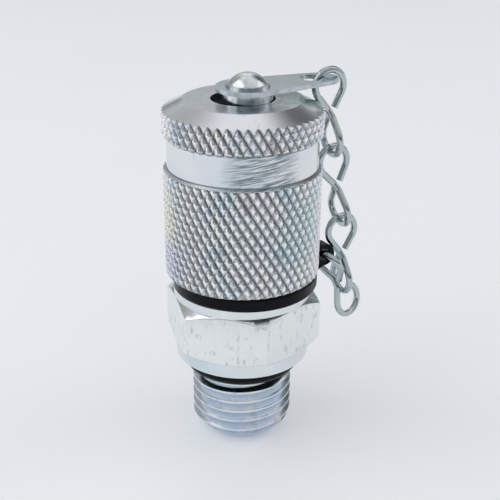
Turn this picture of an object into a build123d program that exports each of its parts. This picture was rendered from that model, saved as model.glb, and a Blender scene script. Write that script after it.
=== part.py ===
from build123d import *
import os
from math import acos, atan2, cos, hypot, radians, sin, sqrt

# Hydraulic test point coupling: screw-in body, spring-loaded check valve, captive screw cap on a chain.
# Millimetres. The coupling's axis is Z, and the stud's end face lies on z = 0.

# ---- stud: M14 x 1.5 ----
stud_radius = 7.0
stud_thread_length = 8.9
stud_end_chamfer = 1.4
undercut_radius = 5.9
seat_height = 12.4            # underside of the lower collar, which seals on the port

# ---- hexagon and its two collars ----
lower_collar_radius = 9.3
lower_collar_thickness = 1.8
hex_across_flats = 19.0
hex_thickness = 7.1
hex_corner_angle = 30.0       # chamfer that rounds the corners, from the end face
upper_collar_radius = 9.45
upper_collar_thickness = 1.15
hex_vertex_azimuth = -73.4    # degrees from +X

# ---- neck: M16 x 2 ----
neck_relief_radius = 7.6
neck_relief_length = 2.9
neck_radius = 8.0
neck_length = 21.15           # from the upper collar to the neck's end
neck_end_chamfer = 1.1

# ---- bores of the body ----
orifice_radius = 2.0
orifice_mouth_chamfer = 0.7
chamber_radius = 5.0
chamber_floor_thickness = 0.8 # above the hexagon's underside

# ---- seals ----
stud_ring_section = 1.1       # radius of the stud O-ring's section
probe_ring_section = 0.9
poppet_ring_section = 0.5
ring_clearance = 0.03         # between an O-ring and the walls that hold it

# ---- check valve and probe socket ----
push_fit_clearance = 0.02
guide_clearance = 0.05
seal_bush_thickness = 4.6
seal_bush_depth = 0.4         # bush top below the neck's end
socket_radius = 3.2
socket_flare = 0.8
seat_insert_length = 7.4
seat_bore_radius = 2.4
seat_cone_depth = 1.6
poppet_head_thickness = 2.6
poppet_stem_radius = 1.2
poppet_tail_radius = 1.5
poppet_tail_length = 6.0
poppet_seat_gap = 0.05
poppet_flow_flat = 3.9        # from the axis to each of the flats that let oil past
spring_wire_radius = 0.4
spring_mean_radius = 3.4
spring_turns = 6

# ---- neck ring with the chain's ear ----
ring_inner_radius = 8.2
ring_step = 0.56              # ring's rim inside the cap's outer surface
ring_thickness = 2.0
ring_edge_radius = 0.45
ring_offset = 0.4             # the loose ring lies this far off the axis, towards +X
ear_thickness = 1.8
ear_head_radius = 1.6
ear_hole_radius = 0.95
ear_sleeve_clearance = 0.35

# ---- screw cap ----
cap_ring_gap = 0.1            # cap's lower rim above the neck ring
thread_clearance = 0.08
sleeve_radius = 10.46
sleeve_edge_chamfer = 0.25
sleeve_shoulder = 0.3
band_radius = 9.97
band_length = 3.95
grip_radius = 10.5
grip_length = 2.95
cone_height = 1.35
top_radius = 7.82
cap_web_thickness = 2.25
cap_hole_radius = 4.2
cap_recess_radius = 6.45
cap_recess_depth = 1.6
cap_seal_outer_radius = 7.9
cap_seal_inner_radius = 6.5
cap_seal_gap = 0.05
cap_seal_thickness = 0.73

# ---- rivet, its washers and the strap ----
rivet_x = 0.6                 # the rivet stands off the axis, inside the cap's wider hole
rivet_y = -0.7
chain_azimuth = 27.0          # direction of the strap and the chain, degrees from +X
rivet_shank_radius = 1.5
rivet_hole_clearance = 0.03
rivet_head_radius = 2.55
rivet_head_height = 1.4
rivet_tail_radius = 2.4
rivet_tail_height = 0.5
tail_washer_radius = 5.3
tail_washer_thickness = 1.0
tail_washer_gap = 0.15        # play under the cap's web
bush_radius = 3.22
strap_gap = 1.25              # strap's underside above the cap's flat top
strap_thickness = 0.55
strap_round_radius = 4.1
strap_tip_radius = 2.6
strap_hole_inset = 0.783       # middle of the strap's hole inside the cap's outer surface
strap_hole_radius = 1.7
strap_overhang = 2.717         # strap's tip outside the cap's outer surface
head_washer_radius = 2.85
head_washer_thickness = 0.3

# ---- chain ----
wire_radius = 0.475
eye_radius = 2.17             # centre line of the wire
eye_centre_distance = 3.69    # from the link's waist to the middle of an eye
waist_half_width = 0.47
waist_half_height = 0.55
free_end_offset = 0.58
free_end_height = 0.6
waist_bend_radius = 0.9
link_play = 0.1               # gap between two hooked wires
hang_angles = (5.4, 11.0, 3.2)  # tilt of the three hanging links, outwards from straight down
ear_link_angle = 29.3
ear_link_twist = 18.2
ear_link_shift = -0.28        # across the chain's plane
ear_link_opening = 1.9        # length missing at the free end of its lower eye, where link 3 swings out
ear_hole_overhang = 1.637      # ear's hole outside the cap's outer surface
ear_hole_rise = 0.19          # above the ring's top

# ---- heights that follow from the sizes above ----
hex_bottom = seat_height + lower_collar_thickness
hex_top = hex_bottom + hex_thickness
ring_bottom = hex_top + upper_collar_thickness
ring_top = ring_bottom + ring_thickness
ring_outer_radius = sleeve_radius - ring_step
chamber_floor_height = hex_bottom + chamber_floor_thickness
neck_top_height = ring_bottom + neck_length
thread_bottom = ring_bottom + neck_relief_length
cap_bottom = ring_top + cap_ring_gap
cavity_top = neck_top_height + cap_seal_gap + cap_seal_thickness
web_bottom = cavity_top + cap_recess_depth
cap_top = web_bottom + cap_web_thickness
grip_top = cap_top - cone_height
grip_bottom = grip_top - grip_length
band_top = grip_bottom - grip_radius + band_radius
sleeve_top = band_top - band_length
tail_washer_top = web_bottom - tail_washer_gap
tail_washer_bottom = tail_washer_top - tail_washer_thickness
strap_bottom = cap_top + strap_gap
strap_top = strap_bottom + strap_thickness
rivet_head_bottom = strap_top + head_washer_thickness
bush_top = neck_top_height - seal_bush_depth
bush_bottom = bush_top - seal_bush_thickness
insert_top = bush_bottom - 2 * probe_ring_section - ring_clearance
insert_bottom = insert_top - seat_insert_length

# ---- distances along the chain's plane, from the rivet's axis ----
rivet_along = rivet_x * cos(radians(chain_azimuth)) + rivet_y * sin(radians(chain_azimuth))
cap_side = max(sleeve_radius, grip_radius) - rivet_along
strap_hole_distance = cap_side - strap_hole_inset
strap_tip_distance = cap_side + strap_overhang
ear_hole_distance = cap_side + ear_hole_overhang
ear_hole_height = ring_top + ear_hole_rise


def turned(*outline):
    """One turned solid: the closed outline is given as (radius, height) corners."""
    corners = [(radius, 0, height) for radius, height in outline]
    return revolve(make_face(Polyline(*corners, close=True)), Axis.Z)


def tube(outer, inner, bottom, top):
    return turned((inner, bottom), (outer, bottom), (outer, top), (inner, top))


def disc(radius, bottom, top):
    return Pos(0, 0, bottom) * Cylinder(radius, top - bottom, align=(Align.CENTER, Align.CENTER, Align.MIN))


def o_ring(mean_radius, section_radius, height):
    return Pos(0, 0, height) * Torus(mean_radius, section_radius)


def at_rivet(shape):
    return Pos(rivet_x, rivet_y, 0) * shape


def in_chain_plane(shape):
    """From the chain's own frame (X along the strap, Z up, origin under the rivet) to the part's frame."""
    return at_rivet(Rot(0, 0, chain_azimuth) * shape)


# ---- body and its seals ----
def coupling_body():
    stud = turned(
        (0, 0),
        (stud_radius - stud_end_chamfer, 0),
        (stud_radius, stud_end_chamfer),
        (stud_radius, stud_thread_length),
        (undercut_radius, stud_thread_length + stud_radius - undercut_radius),
        (undercut_radius, seat_height),
        (lower_collar_radius, seat_height),
        (lower_collar_radius, hex_bottom),
        (0, hex_bottom),
    )
    corner_radius = hex_across_flats / sqrt(3)
    slope = sin(radians(hex_corner_angle)) / cos(radians(hex_corner_angle))
    corner_drop = (corner_radius - lower_collar_radius) * slope
    corner_rise = (corner_radius - upper_collar_radius) * slope
    hexagon = RegularPolygon(corner_radius, 6, rotation=hex_vertex_azimuth)
    nut = Pos(0, 0, hex_bottom) * extrude(hexagon, hex_thickness)
    nut &= turned(
        (0, hex_bottom),
        (lower_collar_radius, hex_bottom),
        (corner_radius, hex_bottom + corner_drop),
        (corner_radius, hex_top - corner_rise),
        (upper_collar_radius, hex_top),
        (0, hex_top),
    )
    neck = turned(
        (0, hex_top),
        (upper_collar_radius, hex_top),
        (upper_collar_radius, ring_bottom),
        (neck_relief_radius, ring_bottom),
        (neck_relief_radius, thread_bottom - neck_radius + neck_relief_radius),
        (neck_radius, thread_bottom),
        (neck_radius, neck_top_height - neck_end_chamfer),
        (neck_radius - neck_end_chamfer, neck_top_height),
        (0, neck_top_height),
    )
    bore = turned(
        (0, -1),
        (orifice_radius + orifice_mouth_chamfer + 1, -1),
        (orifice_radius, orifice_mouth_chamfer),
        (orifice_radius, chamber_floor_height),
        (chamber_radius, chamber_floor_height),
        (chamber_radius, neck_top_height + 1),
        (0, neck_top_height + 1),
    )
    return stud + nut + neck - bore


def stud_o_ring():
    mean = undercut_radius + stud_ring_section + ring_clearance
    return o_ring(mean, stud_ring_section, seat_height - stud_ring_section)


def seal_bush():
    outer = chamber_radius - push_fit_clearance
    return turned(
        (socket_radius, bush_bottom),
        (outer, bush_bottom),
        (outer, bush_top),
        (socket_radius + socket_flare, bush_top),
        (socket_radius, bush_top - socket_flare),
    )


def probe_seal():
    mean = chamber_radius - ring_clearance - probe_ring_section
    return o_ring(mean, probe_ring_section, bush_bottom - probe_ring_section - ring_clearance / 2)


def valve_seat():
    outer = chamber_radius - push_fit_clearance
    return turned(
        (seat_bore_radius, insert_bottom + seat_cone_depth),
        (seat_bore_radius + seat_cone_depth, insert_bottom),
        (outer, insert_bottom),
        (outer, insert_top),
        (seat_bore_radius, insert_top),
    )


# ---- check valve ----
poppet_head_top = insert_bottom - poppet_seat_gap
poppet_head_bottom = poppet_head_top - poppet_head_thickness
poppet_ring_mean = seat_bore_radius + seat_cone_depth - sqrt(2) * (poppet_ring_section + ring_clearance)


def poppet_seal():
    return o_ring(poppet_ring_mean, poppet_ring_section, poppet_head_top - ring_clearance)


def valve_poppet():
    head = disc(chamber_radius - guide_clearance, poppet_head_bottom, poppet_head_top)
    side = 2 * chamber_radius
    for turn in range(3):
        flat = Box(side, side, side, align=(Align.MIN, Align.CENTER, Align.CENTER))
        head -= Rot(0, 0, 120 * turn) * Pos(poppet_flow_flat, 0, poppet_head_bottom) * flat
    boss = disc(poppet_ring_mean - poppet_ring_section, poppet_head_top, poppet_head_top + poppet_ring_section)
    stem = disc(poppet_stem_radius, poppet_head_top, insert_top)
    tail = disc(poppet_tail_radius, poppet_head_bottom - poppet_tail_length, poppet_head_bottom)
    groove = o_ring(poppet_ring_mean, poppet_ring_section + ring_clearance, poppet_head_top - ring_clearance)
    return head + boss + stem + tail - groove


def valve_spring():
    first = chamber_floor_height + spring_wire_radius + ring_clearance
    last = poppet_head_bottom - spring_wire_radius - ring_clearance
    coil = Pos(0, 0, first) * Helix((last - first) / spring_turns, last - first, spring_mean_radius)
    section = Plane(origin=coil @ 0, z_dir=coil % 0) * Circle(spring_wire_radius)
    return sweep(section, path=coil, is_frenet=True)


# ---- neck ring ----
def neck_ring():
    """Loose moulded ring, with a standing ear whose cross hole holds the chain's last link."""
    ring = tube(ring_outer_radius, ring_inner_radius, ring_bottom, ring_bottom + ring_thickness)
    ring = fillet(ring.edges().filter_by(GeomType.CIRCLE), ring_edge_radius)
    ring = Pos(ring_offset, 0, 0) * ring
    root_end = sleeve_radius - rivet_along + ear_sleeve_clearance
    root_start = ring_inner_radius - rivet_along + ring_thickness / 2
    head_bottom = ear_hole_height - ear_head_radius
    with BuildSketch(Plane.XZ) as profile:
        with BuildLine():
            Polyline(
                (root_start, ring_bottom),
                (root_end, ring_bottom),
                (ear_hole_distance, head_bottom),
                (ear_hole_distance, ear_hole_height),
                (root_end, ear_hole_height),
                (root_end, ring_top),
                (root_start, ring_top),
                close=True,
            )
        make_face()
        with Locations((ear_hole_distance, ear_hole_height)):
            Circle(ear_head_radius)
            Circle(ear_hole_radius, mode=Mode.SUBTRACT)
    ear = extrude(profile.sketch, ear_thickness / 2, both=True)
    return ring + in_chain_plane(ear)


# ---- screw cap ----
def screw_cap():
    bore_radius = neck_radius + thread_clearance
    shell = turned(
        (bore_radius, cap_bottom),
        (sleeve_radius - sleeve_edge_chamfer, cap_bottom),
        (sleeve_radius, cap_bottom + sleeve_edge_chamfer),
        (sleeve_radius, sleeve_top - sleeve_shoulder),
        (band_radius, sleeve_top),
        (band_radius, band_top),
        (grip_radius, grip_bottom),
        (grip_radius, grip_top),
        (top_radius, cap_top),
        (cap_hole_radius, cap_top),
        (cap_hole_radius, web_bottom),
        (cap_recess_radius, web_bottom),
        (cap_recess_radius, cavity_top),
        (bore_radius, cavity_top),
    )
    return shell


def cap_seal():
    return tube(cap_seal_outer_radius, cap_seal_inner_radius, neck_top_height + cap_seal_gap, cavity_top)


# ---- rivet, washers, bush and strap ----
def rivet_hole():
    return rivet_shank_radius + rivet_hole_clearance


def cap_rivet():
    """Shank with a domed head, and a flat tail closed over the tail washer."""
    shank = disc(rivet_shank_radius, tail_washer_bottom, rivet_head_bottom)
    tail = disc(rivet_tail_radius, tail_washer_bottom - rivet_tail_height, tail_washer_bottom)
    dome_radius = (rivet_head_radius**2 + rivet_head_height**2) / (2 * rivet_head_height)
    dome = Pos(0, 0, rivet_head_bottom + rivet_head_height - dome_radius) * Sphere(dome_radius)
    dome &= disc(rivet_head_radius + 1, rivet_head_bottom, rivet_head_bottom + rivet_head_height + 1)
    return at_rivet(shank + tail + dome)


def head_washer():
    return at_rivet(tube(head_washer_radius, rivet_hole(), strap_top, rivet_head_bottom))


def rivet_bush():
    return at_rivet(tube(bush_radius, rivet_hole(), tail_washer_top, strap_bottom))


def tail_washer():
    return at_rivet(tube(tail_washer_radius, rivet_hole(), tail_washer_bottom, tail_washer_top))


def chain_strap():
    with BuildSketch() as plan:
        Circle(strap_round_radius)
        with Locations((strap_tip_distance - strap_tip_radius, 0)):
            Circle(strap_tip_radius)
        make_hull()
        Circle(rivet_hole(), mode=Mode.SUBTRACT)
        with Locations((strap_hole_distance, 0)):
            Circle(strap_hole_radius, mode=Mode.SUBTRACT)
    return in_chain_plane(Pos(0, 0, strap_bottom) * extrude(plan.sketch, strap_thickness))


# ---- chain ----
def eye_line(sign):
    """Centre line of one eye as (across, along) points: waist, both tangent points, crown, free end."""
    centre = eye_centre_distance
    tangents = []
    for (across, along), side in (((-waist_half_width, waist_half_height), -1), ((free_end_offset, free_end_height), 1)):
        distance = hypot(across, along - centre)
        angle = atan2(along - centre, across) + side * acos(eye_radius / distance)
        tangents.append((eye_radius * cos(angle), sign * (centre + eye_radius * sin(angle))))
    crown = (0, sign * (centre + eye_radius))
    free_end = (free_end_offset, sign * free_end_height)
    return tangents[0], crown, tangents[1], free_end


def wire_link(opening=0):
    """One link bent from a single wire: two eyes, a quarter turn apart, that cross at the waist.

    opening is the length left off the upper eye's free end.
    """
    near, crown, far, free_end = eye_line(1)
    upper = [(across, 0, along) for across, along in (free_end, far, crown, near)]
    near, crown, far, free_end = eye_line(-1)
    lower = [(0, across, along) for across, along in (near, crown, far, free_end)]
    upper_waist = (-waist_half_width, 0, waist_half_height)
    lower_waist = (0, -waist_half_width, -waist_half_height)
    side = Line(upper[0], upper[1])
    path = [
        Line(side @ (opening / side.length), upper[1]),
        ThreePointArc(upper[1], upper[2], upper[3]),
        *FilletPolyline(upper[3], upper_waist, lower_waist, lower[0], radius=waist_bend_radius).edges(),
        ThreePointArc(lower[0], lower[1], lower[2]),
        Line(lower[2], lower[3]),
    ]
    wire = Wire(path)
    section = Plane(origin=wire @ 0, z_dir=wire % 0) * Circle(wire_radius)
    return sweep(section, path=wire)


def hung(link, tilt, hold, point):
    """Places a link by one of its own points, tilted outwards in the chain's plane."""
    return Pos(point[0], point[1], point[2]) * Rot(0, -tilt, 0) * Pos(0, 0, -hold) * link


def lower_crown(tilt, hold, point):
    """Where the lower crown of a hung link lies."""
    reach = hold + eye_centre_distance + eye_radius
    return (point[0] + reach * sin(radians(tilt)), point[1], point[2] - reach * cos(radians(tilt)))


def chain_links():
    link = wire_link()
    strap_mid = (strap_hole_distance + strap_hole_radius + strap_tip_distance) / 2
    crown_drop = eye_radius - wire_radius
    bridge_half = strap_tip_distance - strap_mid
    rise = crown_drop - sqrt(crown_drop**2 - bridge_half**2) + link_play
    point = (strap_mid, 0, strap_top + rise + wire_radius - eye_radius)
    hold = eye_centre_distance
    links = []
    for tilt in hang_angles:
        links.append(hung(link, tilt, hold, point))
        point = lower_crown(tilt, hold, point)
        hold = eye_centre_distance + eye_radius - 2 * wire_radius - link_play
    crown_sag = (eye_radius - sqrt(eye_radius**2 - (ear_thickness / 2) ** 2)) / 2
    turned_over = Rot(0, 0, ear_link_twist) * Rot(180, 0, 0) * wire_link(ear_link_opening)
    ear_hold = eye_centre_distance + eye_radius - crown_sag
    ear_point = (ear_hole_distance, ear_link_shift, ear_hole_height)
    links.append(hung(turned_over, ear_link_angle, ear_hold, ear_point))
    return [in_chain_plane(shape) for shape in links]


nodes = {
    "coupling_body": coupling_body(),
    "stud_o_ring": stud_o_ring(),
    "neck_ring": neck_ring(),
    "screw_cap": screw_cap(),
    "cap_seal": cap_seal(),
    "cap_rivet": cap_rivet(),
    "head_washer": head_washer(),
    "chain_strap": chain_strap(),
    "rivet_bush": rivet_bush(),
    "tail_washer": tail_washer(),
    "seal_bush": seal_bush(),
    "probe_seal": probe_seal(),
    "valve_seat": valve_seat(),
    "valve_poppet": valve_poppet(),
    "poppet_seal": poppet_seal(),
    "valve_spring": valve_spring(),
}
for number, shape in enumerate(chain_links(), start=1):
    nodes[f"chain_link_{number}"] = shape

os.makedirs("parts", exist_ok=True)
for name, shape in nodes.items():
    export_step(shape, f"parts/{name}.step")
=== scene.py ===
from math import cos, pi, radians, sin

import bpy
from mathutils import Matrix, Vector


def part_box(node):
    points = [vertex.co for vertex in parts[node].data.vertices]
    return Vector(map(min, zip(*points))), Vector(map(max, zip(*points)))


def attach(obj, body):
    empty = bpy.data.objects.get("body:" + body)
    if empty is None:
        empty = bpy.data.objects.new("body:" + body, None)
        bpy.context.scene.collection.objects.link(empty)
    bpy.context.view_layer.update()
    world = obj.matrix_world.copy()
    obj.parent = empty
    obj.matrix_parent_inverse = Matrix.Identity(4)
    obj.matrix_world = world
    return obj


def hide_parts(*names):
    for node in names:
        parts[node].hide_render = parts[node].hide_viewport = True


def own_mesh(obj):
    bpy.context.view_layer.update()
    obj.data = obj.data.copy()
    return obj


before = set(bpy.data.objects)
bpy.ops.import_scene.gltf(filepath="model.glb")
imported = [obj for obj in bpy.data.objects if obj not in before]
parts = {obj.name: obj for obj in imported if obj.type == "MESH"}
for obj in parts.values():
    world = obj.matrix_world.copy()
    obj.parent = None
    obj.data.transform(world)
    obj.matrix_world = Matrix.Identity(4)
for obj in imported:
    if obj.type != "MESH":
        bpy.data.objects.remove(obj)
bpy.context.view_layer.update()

# Hydraulic test point coupling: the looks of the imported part. Metres, in the part's own frame.

mm = 0.001

# ---- threads: 60 degree form, right hand ----
stud_pitch = 1.5 * mm
neck_pitch = 2.0 * mm
thread_depth = 0.613           # of the pitch
thread_root_width = 0.2        # of the pitch
thread_mouth_width = 0.84      # of the pitch, so a narrow flat is left on each crest
thread_run_out = 1.5           # of the pitch, how far a cutter passes the end of the part
thread_steps = 72              # round one turn
thread_join = radians(0.2)     # faces of a cutter's outline that turn less than this are one
stud_radius = 7.0 * mm
stud_thread_top = 8.9 * mm
neck_radius = 8.0 * mm
neck_thread_bottom = 26.2 * mm
neck_finish_depth = 1.5 * mm   # how far in from the neck's radius its thread finish goes
stud_end_radius = 4.9 * mm     # the stud's end is turned down at 45 degrees to this radius
stud_form_reach = 60 * mm      # height of the cone that turns it down, past the top of the body
stud_form_sides = 128

# ---- hexagon ----
hex_edge_radius = 0.11 * mm
hex_flat = 9.5 * mm            # from the axis to each flat
hex_flat_error = 0.02 * mm     # a face this near to that distance is a flat
hex_upright = 0.02             # and its normal's Z is below this
hex_flat_join = radians(1)     # faces that turn less than this are one flat

# ---- knurl ----
knurl_teeth = 52               # round the cap
knurl_row = 2.04 * mm          # from one row of diamonds to the next
knurl_spare_rows = 3           # so that the form passes both ends of the cap
knurl_root_radius = 10.13 * mm
knurl_tip_radius = 10.62 * mm  # before the sleeve's outside diameter cuts the tips flat
knurl_saddle = 0.30            # how much shallower the second set of grooves is, as a share of the depth
knurl_weld = 0.04 * mm         # corners of neighbouring diamonds that lie nearer than this are joined
knurl_shade_depth = 0.3 * mm   # the grooves' darker colour fades out this far above the root
knurl_flattest = 0.85          # a face whose normal's Z is above this is too flat to be knurled
sleeve_top = 39.45 * mm        # foot of the plain band
shoulder_strip = 0.26 * mm     # height of the sleeve's shoulder that the knurl leaves plain
strip_radius = 10.34 * mm
strip_form_height = 4 * shoulder_strip  # of the disc that keeps it plain, mostly above the sleeve
cone_rise = 0.8                # least normal's Z on the turned cone under the cap's flat top
cone_lean = 0.2                # and the least lean of that normal away from the axis
cap_low, cap_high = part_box("screw_cap")

# ---- the other parts ----
triangle_weld = 0.001 * mm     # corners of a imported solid's triangles nearer than this are joined
body_crease = 28               # degrees: faces that meet at a smaller angle are shaded as one
cap_crease = 20
spring_crease = 40

# ---- studio ----
backdrop = (0.76, 0.80, 0.83, 1)
floor_size = 1.5
floor_glow = 0.19              # makes the paper as pale as the backdrop, without lighting the part
light_aim = (0, 0, 0.025)
patch_edge = 0.88              # cosine of the angle at which a dark patch of the room starts
patch_core = 0.985             # and at which it is darkest
camera_place = (0, -115.854 * mm, 78.019 * mm)
camera_turn = (radians(66.27), radians(-0.27), 0)
camera_lens = 66.79
camera_shift = 0.0118


# ---- modelling helpers ----
def only(*pieces):
    """Selects these objects and nothing else."""
    bpy.ops.object.select_all(action="DESELECT")
    for piece in pieces:
        piece.select_set(True)
    bpy.context.view_layer.objects.active = pieces[0]


def new_piece(name):
    """Names the primitive that was just added and gives its own mesh that name."""
    piece = bpy.context.active_object
    piece.name = name
    piece.data.name = name
    return piece


def place_in_mesh(piece):
    only(piece)
    bpy.ops.object.transform_apply(location=True, rotation=True, scale=True)


def edit_all():
    """Opens the active piece in edit mode, with all of it selected."""
    bpy.ops.object.mode_set(mode="EDIT")
    bpy.ops.mesh.select_all(action="SELECT")


def face_outwards():
    """Turns all faces of the piece in edit mode outwards, and leaves edit mode."""
    bpy.ops.mesh.select_all(action="SELECT")
    bpy.ops.mesh.normals_make_consistent(inside=False)
    bpy.ops.object.mode_set(mode="OBJECT")


def pick(piece, kind, test):
    """In edit mode, selects the vertices that pass the test, or the edges whose two ends both pass it."""
    bpy.ops.mesh.select_mode(type=kind)
    bpy.ops.mesh.select_all(action="DESELECT")
    bpy.ops.object.mode_set(mode="OBJECT")
    mesh = piece.data
    if kind == "VERT":
        for vertex in mesh.vertices:
            vertex.select = test(vertex.co)
    if kind == "EDGE":
        for edge in mesh.edges:
            edge.select = all(test(mesh.vertices[i].co) for i in edge.vertices)
    bpy.ops.object.mode_set(mode="EDIT")


def apply_modifier(piece, kind, **settings):
    only(piece)
    modifier = piece.modifiers.new(kind.title(), kind)
    for name, value in settings.items():
        setattr(modifier, name, value)
    bpy.ops.object.modifier_apply(modifier=modifier.name)


def combine(piece, tool, operation):
    """Cuts the tool out of the piece, joins them, or keeps what both share, and removes the tool."""
    apply_modifier(piece, "BOOLEAN", operation=operation, solver="MANIFOLD", object=tool)
    bpy.data.objects.remove(tool)


def solid_copy(node, name):
    """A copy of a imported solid, with its loose triangles joined."""
    piece = parts[node].copy()
    piece.data = parts[node].data.copy()
    piece.name = name
    piece.data.name = name
    for key in list(piece.keys()):
        del piece[key]
    piece.parent = None
    bpy.context.scene.collection.objects.link(piece)
    piece.data.materials.clear()
    only(piece)
    bpy.ops.mesh.customdata_custom_splitnormals_clear()
    edit_all()
    bpy.ops.mesh.remove_doubles(threshold=triangle_weld)
    bpy.ops.object.mode_set(mode="OBJECT")
    return piece


def smooth(piece, angle):
    only(piece)
    bpy.ops.object.shade_smooth_by_angle(angle=radians(angle), keep_sharp_edges=False)


# ---- threads ----
def thread_cutter(name, radius, pitch, bottom, top):
    """The winding space between the crests, as one long closed coil."""
    depth = thread_depth * pitch
    middle = radius - depth / 2
    bpy.ops.mesh.primitive_plane_add(size=1, location=(middle, 0, bottom), rotation=(pi / 2, 0, 0))
    cutter = new_piece(name)
    cutter.scale = (depth, thread_mouth_width * pitch, 1)
    place_in_mesh(cutter)
    bpy.ops.object.mode_set(mode="EDIT")
    pick(cutter, "EDGE", lambda p: p.x < middle)
    narrow = thread_root_width / thread_mouth_width
    bpy.ops.transform.resize(value=(1, 1, narrow), center_override=(0, 0, bottom))
    # the mouth goes on past the crest, and what is left is the outline alone
    pick(cutter, "EDGE", lambda p: p.x > middle)
    bpy.ops.mesh.extrude_edges_move(TRANSFORM_OT_translate={"value": (pitch / 3, 0, 0)})
    bpy.ops.mesh.select_all(action="SELECT")
    bpy.ops.mesh.dissolve_limited(angle_limit=thread_join)
    bpy.ops.mesh.delete(type="ONLY_FACE")
    bpy.ops.object.mode_set(mode="OBJECT")
    turns = round((top - bottom) / pitch)
    apply_modifier(cutter, "SCREW", angle=2 * pi, screw_offset=pitch, iterations=turns,
                   steps=thread_steps, render_steps=thread_steps)
    edit_all()
    bpy.ops.mesh.fill_holes(sides=0)
    face_outwards()
    return cutter


def hex_face(centre, normal):
    """True on the hexagon's six flats."""
    if abs(normal.z) > hex_upright or centre.z < stud_thread_top:
        return False
    return abs(centre.dot(normal) - hex_flat) < hex_flat_error


def soften_hexagon(body):
    """Gives the hexagon's edges the small radius that tumbling and plating leave."""
    only(body)
    bpy.ops.object.mode_set(mode="EDIT")
    bpy.ops.mesh.select_mode(type="FACE")
    bpy.ops.mesh.select_all(action="DESELECT")
    bpy.ops.object.mode_set(mode="OBJECT")
    for face in body.data.polygons:
        face.select = hex_face(face.center, face.normal)
    bpy.ops.object.mode_set(mode="EDIT")
    bpy.ops.mesh.dissolve_limited(angle_limit=hex_flat_join)
    bpy.ops.mesh.select_mode(type="EDGE")
    bpy.ops.mesh.region_to_loop()
    bpy.ops.mesh.bevel(offset=hex_edge_radius, segments=2, affect="EDGES")
    bpy.ops.object.mode_set(mode="OBJECT")


def turn_down_stud_end(body):
    """Keeps what lies in a wide 45 degree cone, which starts 1 mm below the stud."""
    bpy.ops.mesh.primitive_cone_add(vertices=stud_form_sides, radius1=stud_end_radius - mm,
                                    radius2=stud_end_radius + stud_form_reach, depth=stud_form_reach + mm,
                                    location=(0, 0, (stud_form_reach - mm) / 2))
    combine(body, new_piece("stud_end_form"), "INTERSECT")


def threaded_body():
    body = solid_copy("coupling_body", "threaded_body")
    soften_hexagon(body)
    stud_cutter = thread_cutter("stud_groove", stud_radius, stud_pitch,
                                -thread_run_out * stud_pitch, stud_thread_top + stud_pitch)
    combine(body, stud_cutter, "DIFFERENCE")
    neck_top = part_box("coupling_body")[1].z
    neck_cutter = thread_cutter("neck_groove", neck_radius, neck_pitch,
                                neck_thread_bottom, neck_top + thread_run_out * neck_pitch)
    combine(body, neck_cutter, "DIFFERENCE")
    turn_down_stud_end(body)
    smooth(body, body_crease)
    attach(body, "body")
    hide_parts("coupling_body")
    return body


# ---- knurled cap ----
def pick_rising_sides(cell):
    """Selects the two sides of a diamond that climb from left to right."""
    bpy.ops.mesh.select_mode(type="EDGE")
    bpy.ops.object.mode_set(mode="OBJECT")
    mesh = cell.data
    for item in [*mesh.vertices, *mesh.polygons]:
        item.select = False
    for edge in mesh.edges:
        first, last = (mesh.vertices[i].co for i in edge.vertices)
        edge.select = (last.x - first.x) * (last.z - first.z) > 0
    bpy.ops.object.mode_set(mode="EDIT")


def knurl_cell():
    """One diamond of the knurl, a pyramid between four grooves, on the -Y side."""
    step = pi / knurl_teeth
    half_width = knurl_root_radius * sin(step)
    middle = knurl_root_radius * cos(step)
    rise = knurl_tip_radius - knurl_root_radius
    bottom = cap_low.z - knurl_row

    def is_side_middle(point):
        return half_width / 4 < abs(point.x) < 3 * half_width / 4

    def is_apex(point):
        return abs(point.x) < half_width / 8 and abs(point.z - bottom) < knurl_row / 8

    bpy.ops.mesh.primitive_circle_add(vertices=4, radius=1, fill_type="NGON",
                                      location=(0, -middle, bottom), rotation=(pi / 2, 0, 0))
    cell = new_piece("knurl_form")
    cell.scale = (half_width, knurl_row / 2, 1)
    place_in_mesh(cell)
    bpy.ops.object.mode_set(mode="EDIT")
    # its top and bottom corners lie on the root radius too
    pick(cell, "VERT", lambda p: abs(p.x) < half_width / 2)
    bpy.ops.transform.translate(value=(0, middle - knurl_root_radius, 0))
    # the middles of its rising sides stand out, as the saddles of the shallower grooves
    pick_rising_sides(cell)
    bpy.ops.mesh.subdivide(number_cuts=1)
    pick(cell, "EDGE", is_side_middle)
    bpy.ops.mesh.dissolve_edges(use_verts=False)
    pick(cell, "VERT", is_side_middle)
    bpy.ops.transform.translate(value=(0, -rise * knurl_saddle, 0))
    # its middle is drawn out to the tip
    bpy.ops.mesh.select_mode(type="FACE")
    bpy.ops.mesh.select_all(action="SELECT")
    bpy.ops.mesh.poke(offset=0)
    pick(cell, "VERT", is_apex)
    apex = next(vertex.co for vertex in cell.data.vertices if is_apex(vertex.co))
    bpy.ops.transform.translate(value=(0, -knurl_tip_radius - apex.y, 0))
    bpy.ops.object.mode_set(mode="OBJECT")
    return cell


def close_end(form, beyond, stretch):
    """Draws the open rim that lies beyond a height out along Z, and closes it to a point on the axis."""
    bpy.ops.mesh.select_mode(type="EDGE")
    bpy.ops.mesh.select_all(action="DESELECT")
    bpy.ops.mesh.select_non_manifold()
    bpy.ops.object.mode_set(mode="OBJECT")
    mesh = form.data
    rim = {edge.index for edge in mesh.edges if edge.select}
    for item in [*mesh.vertices, *mesh.polygons]:
        item.select = False
    for edge in mesh.edges:
        height = mesh.vertices[edge.vertices[0]].co.z
        edge.select = edge.index in rim and (height - beyond) * stretch > 0
    bpy.ops.object.mode_set(mode="EDIT")
    bpy.ops.mesh.extrude_edges_move(TRANSFORM_OT_translate={"value": (0, 0, stretch)})
    bpy.ops.mesh.merge(type="CENTER")


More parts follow.
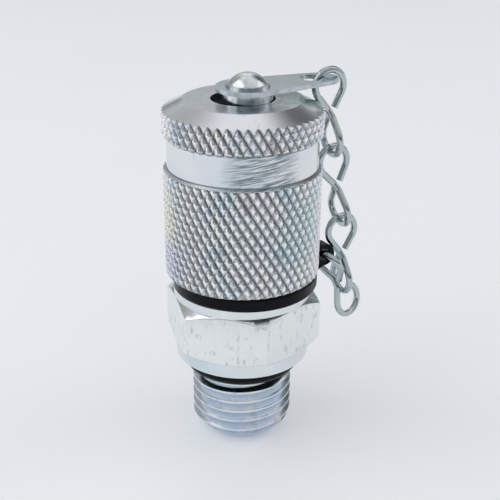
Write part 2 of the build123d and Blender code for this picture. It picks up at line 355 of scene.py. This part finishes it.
def knurl_form():
    """A closed form whose outside is knurled all over, from below the cap to above it."""
    form = knurl_cell()
    rows = round((cap_high.z - cap_low.z) / knurl_row) + knurl_spare_rows
    edit_all()
    bpy.ops.mesh.duplicate()
    bpy.ops.transform.rotate(value=-pi / knurl_teeth, orient_axis="Z", center_override=(0, 0, 0))
    bpy.ops.transform.translate(value=(0, 0, knurl_row / 2))
    bpy.ops.object.mode_set(mode="OBJECT")
    apply_modifier(form, "ARRAY", count=rows, use_relative_offset=False, use_constant_offset=True,
                   constant_offset_displace=(0, 0, knurl_row))
    edit_all()
    others = knurl_teeth - 1
    bpy.ops.mesh.spin(steps=others, dupli=True, angle=2 * pi * others / knurl_teeth,
                      center=(0, 0, 0), axis=(0, 0, 1))
    bpy.ops.mesh.select_all(action="SELECT")
    bpy.ops.mesh.remove_doubles(threshold=knurl_weld)
    close_end(form, cap_low.z, -knurl_row)
    close_end(form, cap_high.z, knurl_row)
    face_outwards()
    return form


def plain_strip():
    """A disc that keeps the knurl's grooves out of the sleeve's shoulder."""
    middle = sleeve_top - shoulder_strip + strip_form_height / 2
    bpy.ops.mesh.primitive_cylinder_add(vertices=4 * knurl_teeth, radius=strip_radius,
                                        depth=strip_form_height, location=(0, 0, middle))
    return new_piece("shoulder_strip")


def knurled_cap():
    cap = solid_copy("screw_cap", "knurled_cap")
    form = knurl_form()
    combine(form, plain_strip(), "UNION")
    combine(cap, form, "INTERSECT")
    smooth(cap, cap_crease)
    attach(cap, "cap")
    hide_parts("screw_cap")
    return cap


def coiled_spring():
    """The valve's spring, a smooth-shaded copy that rides with the body."""
    spring = solid_copy("valve_spring", "coiled_spring")
    smooth(spring, spring_crease)
    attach(spring, "body")
    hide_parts("valve_spring")
    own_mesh(spring)
    return spring


# ---- node helpers ----
NUMBER = "NodeSocketFloat"
COLOUR = "NodeSocketColor"
PLACE = "NodeSocketVector"
noise_low = 0.3                # a noise's values mostly lie between these
noise_high = 0.7


def feed(tree, socket, value):
    """Links another node's socket to this one, or sets it to a plain value."""
    if isinstance(value, bpy.types.NodeSocket):
        tree.links.new(value, socket)
    else:
        socket.default_value = value


def add_node(tree, kind, settings=None, inputs=None):
    """Adds a node, sets its options, and sets or links its inputs."""
    made = tree.nodes.new(kind)
    for name, value in (settings or {}).items():
        setattr(made, name, value)
    for key, value in (inputs or {}).items():
        feed(tree, made.inputs[key], value)
    return made


def math_node(tree, operation, first, second=0.5, clamp=False):
    settings = {"operation": operation, "use_clamp": clamp}
    return add_node(tree, "ShaderNodeMath", settings, {0: first, 1: second}).outputs[0]


def vector_node(tree, operation, *vectors):
    """Measures one vector, or one against another."""
    inputs = dict(enumerate(vectors))
    return add_node(tree, "ShaderNodeVectorMath", {"operation": operation}, inputs).outputs["Value"]


def mix_colour(tree, factor, first, second, blend="MIX"):
    made = add_node(tree, "ShaderNodeMix", {"data_type": "RGBA", "blend_type": blend},
                    {0: factor, 6: first, 7: second})
    return made.outputs[2]


def ramp(tree, factor, *stops):
    """A colour ramp with its stops given as (place, colour)."""
    made = add_node(tree, "ShaderNodeValToRGB", None, {0: factor})
    elements = made.color_ramp.elements
    while len(elements) < len(stops):
        elements.new(0.5)
    for element, (place, colour) in zip(elements, stops):
        element.position = place
        element.color = colour
    return made.outputs["Color"]


def grey(level):
    return (level, level, level, 1)


def span(tree, value, low, high, new_low=0.0, new_high=1.0):
    """Maps a value's range to another range."""
    inputs = {0: value, 1: low, 2: high, 3: new_low, 4: new_high}
    return add_node(tree, "ShaderNodeMapRange", None, inputs).outputs[0]


def noise(tree, place, scale, detail, **more):
    """Soft random values over the surface."""
    inputs = {"Vector": place, "Scale": scale, "Detail": detail, **more}
    return add_node(tree, "ShaderNodeTexNoise", None, inputs).outputs[0]


def bump(tree, strength, distance, height, **more):
    inputs = {"Strength": strength, "Distance": distance, "Height": height, **more}
    return add_node(tree, "ShaderNodeBump", None, inputs).outputs[0]


def own_place(tree):
    """The place on the piece, in the part's own frame."""
    return add_node(tree, "ShaderNodeTexCoord").outputs["Object"]


def split_up(tree, vector):
    """A vector's X, Y and Z."""
    return add_node(tree, "ShaderNodeSeparateXYZ", None, {0: vector}).outputs


def from_axis(tree, split):
    """The distance of a split-up place from the part's axis."""
    flat = add_node(tree, "ShaderNodeCombineXYZ", None, {0: split[0], 1: split[1]}).outputs[0]
    return vector_node(tree, "LENGTH", flat)


def share_of_reach(tree, place, entry):
    """The distance of a place from a group's Middle, as a share of its Reach."""
    away = vector_node(tree, "DISTANCE", place, entry["Middle"])
    return math_node(tree, "DIVIDE", away, entry["Reach"])


def new_group(name, inputs, outputs):
    """A shader group with named inputs and outputs. Gives the tree, its inputs and its output node."""
    tree = bpy.data.node_groups.new(name, "ShaderNodeTree")
    for label, kind, value in inputs:
        made = tree.interface.new_socket(label, in_out="INPUT", socket_type=kind)
        made.default_value = value
    for label, kind in outputs:
        tree.interface.new_socket(label, in_out="OUTPUT", socket_type=kind)
    entry = tree.nodes.new("NodeGroupInput")
    leave = tree.nodes.new("NodeGroupOutput")
    return tree, entry.outputs, leave


def place_group(tree, group, **inputs):
    """Places a group in a material. An underscore in an input's name stands for a space."""
    made = tree.nodes.new("ShaderNodeGroup")
    made.node_tree = group
    for key, value in inputs.items():
        feed(tree, made.inputs[key.replace("_", " ")], value)
    return made.outputs


# ---- effects that several finishes share ----
def turning_marks_group():
    """Fine rings left by the lathe tool, round the part's axis. Scale is in rings per metre."""
    tree, entry, leave = new_group(
        "Turning marks",
        [("Scale", NUMBER, 3000.0), ("Waviness", NUMBER, 0.3)],
        [("Height", NUMBER), ("Bands", NUMBER)],
    )
    place = own_place(tree)
    split = split_up(tree, place)
    across = math_node(tree, "MULTIPLY", from_axis(tree, split), entry["Scale"])
    along = math_node(tree, "MULTIPLY", split[2], entry["Scale"])
    wander = noise(tree, place, scale=160.0, detail=2.0)
    shift = math_node(tree, "MULTIPLY", wander, entry["Waviness"])
    rings = add_node(tree, "ShaderNodeCombineXYZ", None, {0: across, 1: along, 2: shift}).outputs[0]
    band_share = 0.13
    fine = noise(tree, rings, scale=1.0, detail=3.0)
    wide = noise(tree, rings, scale=band_share, detail=2.0)
    tree.links.new(fine, leave.inputs["Height"])
    tree.links.new(wide, leave.inputs["Bands"])
    return tree


def plating_tint_group():
    """Thin chromate colours of zinc plating: sea green, lilac and straw patches over the base colour."""
    tree, entry, leave = new_group(
        "Plating tint",
        [("Base Colour", COLOUR, (0.8, 0.8, 0.8, 1)), ("Scale", NUMBER, 120.0), ("Strength", NUMBER, 0.5)],
        [("Color", COLOUR)],
    )
    patches = noise(tree, own_place(tree), entry["Scale"], detail=3.0, Distortion=0.6)
    film = ramp(
        tree, patches,
        (0.28, (0.55, 0.80, 0.86, 1)),
        (0.42, (0.84, 0.89, 0.96, 1)),
        (0.52, (0.98, 0.99, 0.97, 1)),
        (0.60, (0.92, 0.86, 0.97, 1)),
        (0.72, (0.97, 0.95, 0.72, 1)),
    )
    tinted = mix_colour(tree, entry["Strength"], entry["Base Colour"], film, "MULTIPLY")
    tree.links.new(tinted, leave.inputs["Color"])
    return tree


def reflection_streaks_group():
    """A painted dark reflection on one side of a turned band, drawn as slanting streaks that fade out round
    a middle point.
    """
    tree, entry, leave = new_group(
        "Painted reflection streaks",
        [("Middle", PLACE, (0, 0, 0)), ("Reach", NUMBER, 0.005)],
        [("Mask", NUMBER)],
    )
    place = own_place(tree)
    near = span(tree, share_of_reach(tree, place, entry), 0.55, 1.0, 1.0, 0.0)
    mark_size = (1 / 450, 1 / 60, 1 / 8500)
    lean = (0, radians(-8), 0)
    leaning = add_node(tree, "ShaderNodeMapping", {"vector_type": "TEXTURE"},
                       {"Vector": place, "Rotation": lean, "Scale": mark_size}).outputs[0]
    lines = span(tree, noise(tree, leaning, scale=1.0, detail=3.0), 0.40, 0.58, 0.0, 0.9)
    mask = math_node(tree, "MULTIPLY", near, lines, clamp=True)
    tree.links.new(mask, leave.inputs["Mask"])
    return tree


def pits_group():
    """Small pits and handling marks, longer than they are wide: a mask that is 1 in a mark."""
    tree, entry, leave = new_group(
        "Pits",
        [("Scale", NUMBER, 900.0), ("Amount", NUMBER, 0.3)],
        [("Mask", NUMBER)],
    )
    drawn_out = {"Vector": own_place(tree), "Scale": (1.0, 1.0, 0.45)}
    drawn = add_node(tree, "ShaderNodeMapping", None, drawn_out).outputs[0]
    grains = noise(tree, drawn, entry["Scale"], detail=4.0)
    level = math_node(tree, "SUBTRACT", 0.78, entry["Amount"])
    above = math_node(tree, "SUBTRACT", grains, level)
    mask = math_node(tree, "MULTIPLY", above, 6.0, clamp=True)
    tree.links.new(mask, leave.inputs["Mask"])
    return tree


def edge_wear_group():
    """A mask that is 1 along outer edges, where handling has polished them."""
    tree, entry, leave = new_group(
        "Edge wear",
        [("Amount", NUMBER, 0.5), ("Breakup", NUMBER, 700.0)],
        [("Mask", NUMBER)],
    )
    bend = add_node(tree, "ShaderNodeNewGeometry").outputs["Pointiness"]
    edges = span(tree, bend, 0.52, 0.62)
    grains = noise(tree, own_place(tree), entry["Breakup"], detail=2.0)
    broken = math_node(tree, "MULTIPLY", edges, span(tree, grains, 0.35, 0.6))
    mask = math_node(tree, "MULTIPLY", broken, entry["Amount"], clamp=True)
    tree.links.new(mask, leave.inputs["Mask"])
    return tree


def stain_and_shade_patch_group():
    """A soft patch round a middle point, for discoloured patches of the plating and for painted shade: 1 in
    the middle, 0 from the reach on.
    """
    tree, entry, leave = new_group(
        "Stain and painted shade patch",
        [("Middle", PLACE, (0, 0, 0)), ("Reach", NUMBER, 0.005)],
        [("Mask", NUMBER)],
    )
    place = own_place(tree)
    wander = noise(tree, place, scale=500.0, detail=3.0)
    wander = span(tree, wander, noise_low, noise_high, -0.2, 0.2)
    share = math_node(tree, "ADD", share_of_reach(tree, place, entry), wander)
    tree.links.new(span(tree, share, 0.5, 1.0, 1.0, 0.0), leave.inputs["Mask"])
    return tree


def crease_shade_group():
    """Painted shade: a thin dark line round the part at a height, where shade falls in the corner at the
    foot of a turned band.
    """
    tree, entry, leave = new_group("Painted crease shade", [("Height", NUMBER, 0.0)], [("Mask", NUMBER)])
    above = math_node(tree, "SUBTRACT", split_up(tree, own_place(tree))[2], entry["Height"])
    line = span(tree, math_node(tree, "ABSOLUTE", above), 0.05 * mm, 0.13 * mm, 0.85, 0.0)
    tree.links.new(line, leave.inputs["Mask"])
    return tree


def groove_shade_group():
    """Painted shade in the grooves: a mask by the distance to the axis, 1 in the root of a knurl or thread,
    0 on its crest.
    """
    tree, entry, leave = new_group(
        "Groove shade",
        [("Root", NUMBER, 0.01), ("Crest", NUMBER, 0.011)],
        [("Mask", NUMBER)],
    )
    radius = from_axis(tree, split_up(tree, own_place(tree)))
    mask = span(tree, radius, entry["Root"], entry["Crest"], 1.0, 0.0)
    tree.links.new(mask, leave.inputs["Mask"])
    return tree


turning_marks = turning_marks_group()
plating_tint = plating_tint_group()
pits = pits_group()
painted_reflection_streaks = reflection_streaks_group()
edge_wear = edge_wear_group()
groove_shade = groove_shade_group()
stain_and_shade_patch = stain_and_shade_patch_group()
painted_crease_shade = crease_shade_group()


# ---- finishes ----
pit_colour = grey(0.3)
worn_colour = grey(0.92)
# colour of the painted shade in dark corners
crease_shade_colour = (0.12, 0.14, 0.16, 1)
# colour of the painted dark reflection on the band
reflection_streak_colour = (0.15, 0.21, 0.23, 1)


def new_material(name):
    material = bpy.data.materials.new(name)
    material.use_nodes = True
    tree = material.node_tree
    return material, tree, tree.nodes["Principled BSDF"]


def plated_steel(name, colour, tint=0.4, tint_scale=120.0, roughness=0.3, rings=3000.0,
                 ring_depth=0.003 * mm, pit_amount=0.15, pit_scale=900.0, dents=0.0, dent_scale=2000.0,
                 wear=0.4, reflection_streaks=None, grooves=None, groove_shade_colour=None, stains_and_shade_patches=(), crease_shade_height=None,
                 side_shade_colour=None):
    """Zinc-plated steel over a metal shader: chromate tint, lathe marks, pits, dents, bright edges, painted
    shade.

    The options give the middle and reach of a painted dark reflection in slanting streaks, the radii of a
    root and a crest for the painted groove shade, the middle, reach and colour of each discoloured patch
    and patch of painted shade, the height of a painted dark corner, a painted shade colour for upright
    faces, and dents their depth.
    """
    material, tree, shader = new_material(name)
    film = place_group(tree, plating_tint, Base_Colour=colour, Scale=tint_scale, Strength=tint)
    marks = place_group(tree, turning_marks, Scale=rings)
    pitted = place_group(tree, pits, Amount=pit_amount, Scale=pit_scale)["Mask"]
    worn = place_group(tree, edge_wear, Amount=wear)["Mask"]
    shade = mix_colour(tree, math_node(tree, "MULTIPLY", pitted, 0.5), film["Color"], pit_colour)
    # discoloured patches of the plating, and patches of painted shade
    for middle, reach, colour_there in stains_and_shade_patches:
        spot = place_group(tree, stain_and_shade_patch, Middle=middle, Reach=reach)["Mask"]
        shade = mix_colour(tree, spot, shade, colour_there)
    # painted shade in the corner at a given height
    if crease_shade_height:
        corner = place_group(tree, painted_crease_shade, Height=crease_shade_height)["Mask"]
        shade = mix_colour(tree, corner, shade, crease_shade_colour)
    # painted dark reflection on one side of the turned band, in slanting streaks
    if reflection_streaks:
        lines = place_group(tree, painted_reflection_streaks, Middle=reflection_streaks[0], Reach=reflection_streaks[1])["Mask"]
        shade = mix_colour(tree, lines, shade, reflection_streak_colour)
    # painted shade: faces that stand upright are darker than those that face up or down
    if side_shade_colour:
        facing = split_up(tree, add_node(tree, "ShaderNodeNewGeometry").outputs["Normal"])[2]
        upright = span(tree, math_node(tree, "ABSOLUTE", facing), 0.3, 0.8, 1.0, 0.0)
        shade = mix_colour(tree, upright, shade, side_shade_colour)
    # painted shade in the grooves of a knurl or thread
    if grooves:
        deep = place_group(tree, groove_shade, Root=grooves[0], Crest=grooves[1])["Mask"]
        shade = mix_colour(tree, deep, shade, groove_shade_colour)
    bright = mix_colour(tree, worn, shade, worn_colour)
    rough = span(tree, marks["Bands"], noise_low, noise_high, roughness - 0.05, roughness + 0.06)
    rough = math_node(tree, "ADD", rough, math_node(tree, "MULTIPLY", pitted, 0.15))
    height = math_node(tree, "SUBTRACT", marks["Height"], math_node(tree, "MULTIPLY", pitted, 0.6))
    relief = bump(tree, strength=0.6, distance=ring_depth, height=height)
    if dents:
        lumps = noise(tree, own_place(tree), dent_scale, detail=3.0)
        relief = bump(tree, strength=1.0, distance=dents, height=lumps, Normal=relief)
    tree.links.new(bright, shader.inputs["Base Color"])
    tree.links.new(rough, shader.inputs["Roughness"])
    tree.links.new(relief, shader.inputs["Normal"])
    shader.inputs["Metallic"].default_value = 1.0
    return material


def black_moulding(name, colour, roughness, grain):
    """Black plastic or rubber with a fine grain, darker in its hollows."""
    material, tree, shader = new_material(name)
    grains = noise(tree, own_place(tree), grain, detail=4.0)
    darker = tuple(0.5 * level for level in colour[:3]) + (1,)
    shade = mix_colour(tree, span(tree, grains, noise_low, noise_high), darker, colour)
    rough = span(tree, grains, noise_low, noise_high, roughness - 0.06, roughness + 0.08)
    relief = bump(tree, strength=0.3, distance=0.02 * mm, height=grains)
    tree.links.new(shade, shader.inputs["Base Color"])
    tree.links.new(rough, shader.inputs["Roughness"])
    tree.links.new(relief, shader.inputs["Normal"])
    shader.inputs["Specular IOR Level"].default_value = 0.13
    return material


def finishes():
    """The coupling's finishes, by the names that the dressing uses."""
    straw_stain = ((-9.9 * mm, -3.0 * mm, 33 * mm), 4.5 * mm, (0.94, 0.94, 0.84, 1))
    lilac_stain = ((-9.4 * mm, -4.0 * mm, 27 * mm), 4.5 * mm, (0.78, 0.82, 0.94, 1))
    sea_green_stain = ((7.6 * mm, -7.0 * mm, 33 * mm), 4.5 * mm, (0.76, 0.89, 0.91, 1))
    # painted shade and dark reflection of the strap, on the right of the cap's flat top
    strap_shade_on_top = ((6.5 * mm, 1.5 * mm, cap_high.z), 5.5 * mm, (0.34, 0.42, 0.36, 1))
    # painted shade and dark reflection of the washer, in front of it on the flat top
    washer_shade_on_top = ((0.2 * mm, -5.6 * mm, cap_high.z), 2.6 * mm, (0.30, 0.40, 0.44, 1))
    # middle and reach of the painted dark reflection on the band
    band_reflection_streaks = ((2.6 * mm, -9.6 * mm, 41.0 * mm), 5.6 * mm)
    knurl_grooves = (knurl_root_radius, knurl_root_radius + knurl_shade_depth)
    stud_grooves = (stud_radius - thread_depth * stud_pitch, stud_radius)
    neck_grooves = (neck_radius - thread_depth * neck_pitch, neck_radius)
    # the threads' bluish groove colour is painted shade
    thread = {"colour": (0.84, 0.87, 0.90, 1), "tint": 0.8, "tint_scale": 230, "roughness": 0.22,
              "wear": 0.2, "pit_amount": 0.2, "groove_shade_colour": (0.64, 0.72, 0.82, 1)}
    return {
        "knurl": plated_steel(
            "cap_knurl_zinc", (0.98, 0.98, 0.99, 1), tint=0.75, tint_scale=260, roughness=0.11,
            dents=0.07 * mm, dent_scale=3600, pit_amount=0.24, wear=0.5, grooves=knurl_grooves,
            # the knurl's dark groove colour is painted shade
            groove_shade_colour=(0.27, 0.29, 0.31, 1), stains_and_shade_patches=[straw_stain, lilac_stain, sea_green_stain],
        ),
        "cap": plated_steel(
            "cap_zinc", (0.82, 0.83, 0.85, 1), tint=0.5, tint_scale=70, roughness=0.22, rings=5200,
            ring_depth=0.002 * mm, pit_amount=0.12, reflection_streaks=band_reflection_streaks,
            # the dark line at the height below is painted shade in the corner at the foot of the plain band
            stains_and_shade_patches=[strap_shade_on_top, washer_shade_on_top], crease_shade_height=sleeve_top + 0.05 * mm,
        ),
        "body": plated_steel(
            "body_zinc", (0.80, 0.84, 0.85, 1), tint=0.5, tint_scale=90, roughness=0.22, pit_amount=0.1,
        ),
        # the dark line at the top of the stud's thread is painted shade under its seal ring
        "stud": plated_steel("stud_zinc", grooves=stud_grooves, crease_shade_height=stud_thread_top, **thread),
        "neck": plated_steel("neck_zinc", grooves=neck_grooves, **thread),
        "hexagon": plated_steel(
            "hexagon_zinc", (0.90, 0.92, 0.92, 1), tint=0.18, tint_scale=480, roughness=0.36, rings=300,
            pit_amount=0.205, pit_scale=1600, dents=0.008 * mm, dent_scale=1400,
        ),
        "strap": plated_steel(
            "strap_zinc", (0.74, 0.80, 0.83, 1), tint=0.3, tint_scale=80, roughness=0.2, rings=500,
            # the upright edges of the strap get painted shade
            pit_amount=0.14, dents=0.004 * mm, dent_scale=700, side_shade_colour=(0.34, 0.42, 0.45, 1),
        ),
        "rivet": plated_steel(
            "rivet_zinc", (0.76, 0.81, 0.82, 1), tint=0.3, tint_scale=300, roughness=0.16, rings=500,
            pit_amount=0.26, pit_scale=1100, dents=0.05 * mm, dent_scale=850, wear=0.0,
        ),
        "washer": plated_steel(
            # the washers' dark colour is painted shade
            "washer_zinc_shaded", (0.40, 0.48, 0.51, 1), tint=0.3, tint_scale=200, roughness=0.18,
            pit_amount=0.2, wear=0.8,
        ),
        "wire": plated_steel(
            "chain_wire", (0.50, 0.56, 0.57, 1), tint=0.3, tint_scale=200, roughness=0.13, rings=300,
            pit_amount=0.16, dents=0.006 * mm, dent_scale=1500, wear=0.0,
        ),
        "steel": plated_steel("plain_steel", (0.6, 0.6, 0.61, 1), tint=0.1, roughness=0.3),
        "ring": black_moulding("black_plastic", (0.001, 0.003, 0.005, 1), roughness=0.2, grain=1200),
        "rubber": black_moulding("black_rubber", (0.003, 0.006, 0.008, 1), roughness=0.35, grain=2500),
    }


# ---- dressing ----
def dress(piece, material):
    piece.data.materials.clear()
    piece.data.materials.append(material)


def dress_faces(piece, material, test):
    """Gives the faces that pass the test one more finish."""
    piece.data.materials.append(material)
    for face in piece.data.polygons:
        if test(face.center, face.normal):
            face.material_index = len(piece.data.materials) - 1


def turned_cone(centre, normal):
    """True where a face belongs to the cone under the cap's flat top."""
    out = Vector((centre.x, centre.y, 0)).normalized()
    return normal.z > cone_rise and normal.dot(out) > cone_lean


def knurled_face(centre, normal):
    """True on the cap's knurled flanks, tips and grooves."""
    if centre.xy.length < knurl_root_radius or turned_cone(centre, normal):
        return False
    return abs(normal.z) < knurl_flattest


def stud_face(centre, normal):
    return centre.z < stud_thread_top and centre.xy.length > stud_end_radius


def neck_face(centre, normal):
    return centre.z > neck_thread_bottom and centre.xy.length > neck_radius - neck_finish_depth


def dress_parts(finish):
    """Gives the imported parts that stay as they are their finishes."""
    kept = {
        "strap": ["chain_strap"],
        "rivet": ["cap_rivet"],
        "washer": ["head_washer", "rivet_bush", "tail_washer"],
        "wire": ["chain_link_1", "chain_link_2", "chain_link_3", "chain_link_4"],
        "steel": ["seal_bush", "valve_seat", "valve_poppet"],
        "ring": ["neck_ring"],
        "rubber": ["stud_o_ring", "cap_seal", "probe_seal", "poppet_seal"],
    }
    for name, nodes in kept.items():
        for node in nodes:
            dress(parts[node], finish[name])


# ---- studio ----
def floor_material():
    material, tree, shader = new_material("paper_floor")
    fibres = noise(tree, own_place(tree), scale=9.0, detail=2.0)
    paper = span(tree, fibres, noise_low, noise_high)
    colour = mix_colour(tree, paper, (0.86, 0.89, 0.91, 1), (0.88, 0.91, 0.93, 1))
    tree.links.new(colour, shader.inputs["Base Color"])
    path = add_node(tree, "ShaderNodeLightPath").outputs
    seen = math_node(tree, "MAXIMUM", path["Is Camera Ray"], path["Is Glossy Ray"])
    seen = math_node(tree, "MAXIMUM", seen, path["Is Transmission Ray"])
    tree.links.new(math_node(tree, "MULTIPLY", seen, floor_glow), shader.inputs["Emission Strength"])
    shader.inputs["Emission Color"].default_value = (1.0, 0.97, 1.0, 1)
    shader.inputs["Roughness"].default_value = 0.9
    shader.inputs["Specular IOR Level"].default_value = 0.1
    return material


def studio():
    """The pale paper that the part lies on."""
    bpy.ops.mesh.primitive_grid_add(x_subdivisions=8, y_subdivisions=8, size=floor_size, location=(0, 0, 0))
    floor = new_piece("paper_floor")
    dress(floor, floor_material())


def window(name, place, size, power):
    """A window of the room, as a soft light that looks at the part."""
    data = bpy.data.lights.new(name, "AREA")
    data.shape = "RECTANGLE"
    data.size, data.size_y = size
    data.energy = power
    lamp = bpy.data.objects.new(name, data)
    lamp.location = place
    lamp.rotation_euler = (Vector(place) - Vector(light_aim)).to_track_quat("Z", "Y").to_euler()
    bpy.context.scene.collection.objects.link(lamp)


def dark_patch(tree, way, toward, level):
    """A darker part of the room round a direction."""
    near = vector_node(tree, "DOT_PRODUCT", way, toward)
    return span(tree, near, patch_edge, patch_core, 1.0, level)


def room():
    """The walls and ceiling that the metal mirrors, and the plain backdrop that is seen past the part."""
    world = bpy.data.worlds.new("studio_walls")
    world.use_nodes = True
    bpy.context.scene.world = world
    tree = world.node_tree
    way = add_node(tree, "ShaderNodeTexCoord").outputs["Generated"]
    split = split_up(tree, way)
    height = ramp(
        tree, split[2],
        (0.0, backdrop),
        (0.05, backdrop),
        (0.09, (0.06, 0.08, 0.09, 1)),
        (0.36, (0.63, 0.66, 0.67, 1)),
        (0.6, (0.99, 1.0, 1.0, 1)),
        (1.0, (0.95, 0.97, 1.0, 1)),
    )
    near_wall = span(tree, split[1], -0.6, 0.7, 0.6, 1.0)
    right_corner = dark_patch(tree, way, toward=(0.52, 0.60, 0.61), level=0.12)
    left_corner = dark_patch(tree, way, toward=(-0.56, 0.56, 0.61), level=0.42)
    corners = math_node(tree, "MULTIPLY", right_corner, left_corner)
    behind_left_window = dark_patch(tree, way, toward=(-0.79, -0.19, 0.58), level=0.4)
    behind_right_window = dark_patch(tree, way, toward=(0.88, 0.16, 0.44), level=0.5)
    windows = math_node(tree, "MULTIPLY", behind_left_window, behind_right_window)
    shade = math_node(tree, "MULTIPLY", math_node(tree, "MULTIPLY", near_wall, corners), windows)
    walls = mix_colour(tree, 1.0, height, shade, "MULTIPLY")
    path = add_node(tree, "ShaderNodeLightPath").outputs
    seen = math_node(tree, "MAXIMUM", path["Is Camera Ray"], path["Is Transmission Ray"])
    background = tree.nodes["Background"]
    tree.links.new(mix_colour(tree, seen, walls, backdrop), background.inputs["Color"])
    background.inputs["Strength"].default_value = 1.0


def camera():
    data = bpy.data.cameras.new("view")
    data.sensor_width = 36
    data.lens = camera_lens
    data.shift_x = camera_shift
    data.clip_start = 0.01
    viewer = bpy.data.objects.new("view", data)
    viewer.location = camera_place
    viewer.rotation_euler = camera_turn
    bpy.context.scene.collection.objects.link(viewer)
    bpy.context.scene.camera = viewer


finish = finishes()
body = threaded_body()
dress(body, finish["body"])
dress_faces(body, finish["hexagon"], hex_face)
dress_faces(body, finish["stud"], stud_face)
dress_faces(body, finish["neck"], neck_face)
cap = knurled_cap()
dress(cap, finish["cap"])
dress_faces(cap, finish["knurl"], knurled_face)
dress(coiled_spring(), finish["steel"])
dress_parts(finish)
studio()
window("left_window", place=(-0.5, -0.12, 0.42), size=(0.62, 0.68), power=1.1)
window("right_window", place=(0.55, 0.1, 0.3), size=(0.4, 0.6), power=0.42)
room()
camera()
bpy.context.scene.view_settings.view_transform = "Standard"
